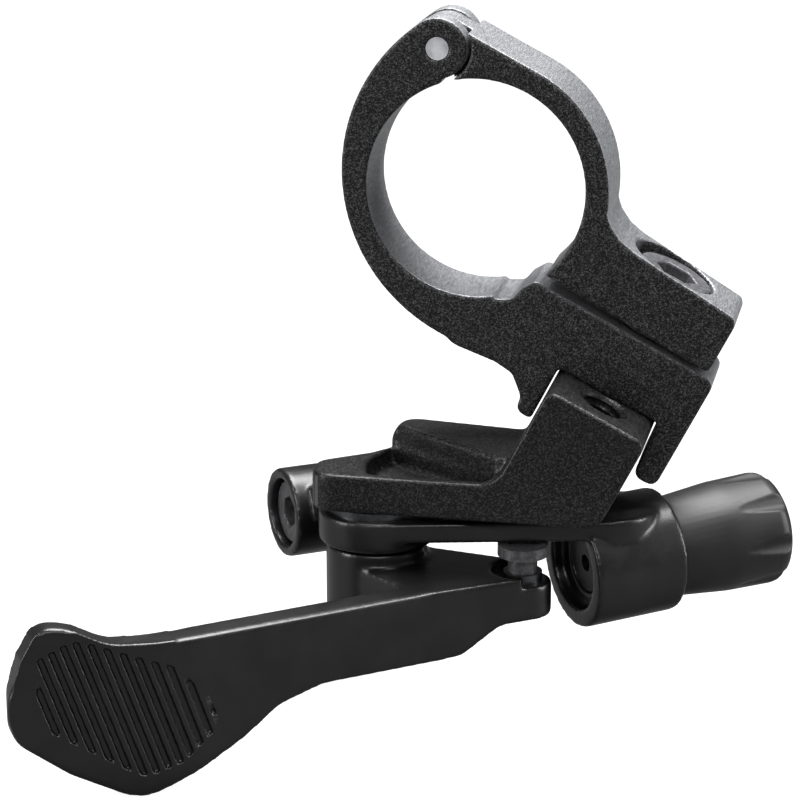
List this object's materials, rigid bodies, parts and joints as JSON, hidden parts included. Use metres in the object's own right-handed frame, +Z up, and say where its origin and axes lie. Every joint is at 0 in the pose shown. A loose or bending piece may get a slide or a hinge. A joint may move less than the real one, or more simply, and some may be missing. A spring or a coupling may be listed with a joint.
{
  "type": "dropper post remote lever",
  "caption": "Under-bar remote lever for a bicycle's dropper seat post, with a hinged bar clamp, an offset bracket, a swivelling lever body and a fluted cable adjuster.",
  "frame": {"origin": "centre of the handlebar bore, halfway along the clamp", "axes": "+Y along the handlebar, away from the viewer of the picture; +Z up with the handlebar level; +X towards the cable adjuster"},
  "size_m": [0.0714, 0.0554, 0.0714],
  "materials": {
    "clamp_anodised": "bead-blasted black anodised",
    "body_black": "satin black anodised",
    "knob_black": "matte black anodised",
    "barrel_anodised": "black anodised, turned",
    "black_steel": "black oxide",
    "bright_steel": "bright turned",
    "spring_steel": "drawn wire",
    "bushing_bronze": "sintered bronze"
  },
  "bodies": {
    "frame": {"clamp_lower": "clamp_anodised", "hinge_pin": "bright_steel", "bracket": "clamp_anodised", "swivel_washer": "bright_steel", "pivot_bolt": "black_steel", "pivot_washer": "bright_steel"},
    "clamp_cap": {"clamp_upper": "clamp_anodised"},
    "clamp_screw": {"clamp_bolt": "black_steel"},
    "swivel_body": {"body": "body_black", "pinch_screw": "black_steel", "return_spring": "spring_steel", "adjuster_spring": "spring_steel"},
    "lever": {"lever": "body_black", "upper_bushing": "bushing_bronze", "lower_bushing": "bushing_bronze", "anchor_bolt": "black_steel", "anchor_washer": "bright_steel", "anchor_nut": "black_steel"},
    "adjuster_carrier": {"detent_sleeve": "bright_steel"},
    "adjuster": {"adjuster_knob": "knob_black", "adjuster_barrel": "barrel_anodised"}
  },
  "joints": [
    {"name": "cap_hinge", "type": "hinge", "parent": "frame", "child": "clamp_cap", "pos_m": [-0.0039, 0, 0.014], "axis": [0, -1, 0], "range_deg": [0, 3]},
    {"name": "clamp_bolt_travel", "type": "slide", "parent": "frame", "child": "clamp_screw", "axis": [0.454, 0, 0.891], "range_m": [0, 0.0021]},
    {"name": "body_swivel", "type": "hinge", "parent": "frame", "child": "swivel_body", "pos_m": [-0.0096, -0.0065, -0.0349], "axis": [0, 0, 1], "range_deg": [-30, 30]},
    {"name": "lever_press", "type": "hinge", "parent": "swivel_body", "child": "lever", "pos_m": [-0.0096, -0.0065, -0.0349], "axis": [0, 0, 1], "range_deg": [-28, 0], "stiffness_Nm_per_rad": 0.04, "springref_deg": 34.38, "deforming": ["return_spring"]},
    {"name": "adjuster_travel", "type": "slide", "parent": "swivel_body", "child": "adjuster_carrier", "axis": [0.818, 0.5728, 0.0523], "range_m": [0, 0.002], "deforming": ["adjuster_spring"]},
    {"name": "adjuster_turn", "type": "hinge", "parent": "adjuster_carrier", "child": "adjuster", "pos_m": [0.0103, -0.0034, -0.03955], "axis": [0.818, 0.5728, 0.0523], "range_deg": [0, 721]}
  ],
  "couplings": [
    {"joint": "clamp_bolt_travel", "follows": "cap_hinge", "m_per_rad": 0.036},
    {"joint": "adjuster_turn", "follows": "adjuster_travel", "rad_per_m": 6283.2}
  ]
}
